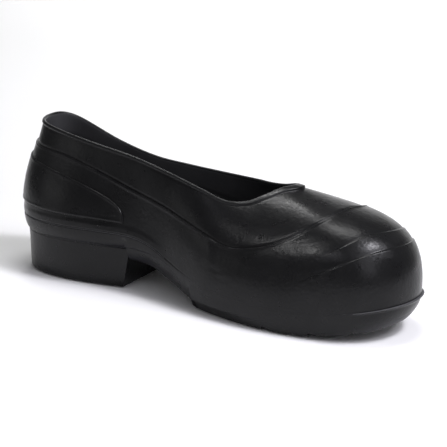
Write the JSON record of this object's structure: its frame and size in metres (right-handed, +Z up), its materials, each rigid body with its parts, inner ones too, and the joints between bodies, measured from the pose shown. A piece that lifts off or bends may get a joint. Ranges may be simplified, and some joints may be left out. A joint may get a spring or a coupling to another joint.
{
  "type": "studded overshoe",
  "caption": "Low-cut slip-on overshoe for the left foot in black moulded rubber, with a block heel, ramped tread grooves and metal ice studs in its sole.",
  "frame": {"origin": "on the floor under the middle of the shoe's length and breadth, with the stud tips on the floor", "axes": "+X towards the toe, +Z up, -Y towards the inner (medial) side of the left foot"},
  "size_m": [0.3264, 0.1277, 0.1175],
  "materials": {
    "upper_rubber": "satin moulded black rubber",
    "sole_rubber": "satin moulded black rubber, slightly bluish",
    "stud_steel": "bright steel with a darker hard pin"
  },
  "bodies": {
    "root": {"upper": "upper_rubber", "heel_counter": "upper_rubber", "outsole": "sole_rubber", "heel": "sole_rubber", "stud_01": "stud_steel", "stud_02": "stud_steel", "stud_03": "stud_steel", "stud_04": "stud_steel", "stud_05": "stud_steel", "stud_06": "stud_steel", "stud_07": "stud_steel", "stud_08": "stud_steel", "stud_09": "stud_steel", "stud_10": "stud_steel", "stud_11": "stud_steel", "stud_12": "stud_steel", "stud_13": "stud_steel", "stud_14": "stud_steel", "stud_15": "stud_steel", "stud_16": "stud_steel", "stud_17": "stud_steel", "stud_18": "stud_steel", "stud_19": "stud_steel", "stud_20": "stud_steel", "stud_21": "stud_steel", "stud_22": "stud_steel", "stud_23": "stud_steel", "stud_24": "stud_steel"}
  },
  "joints": []
}
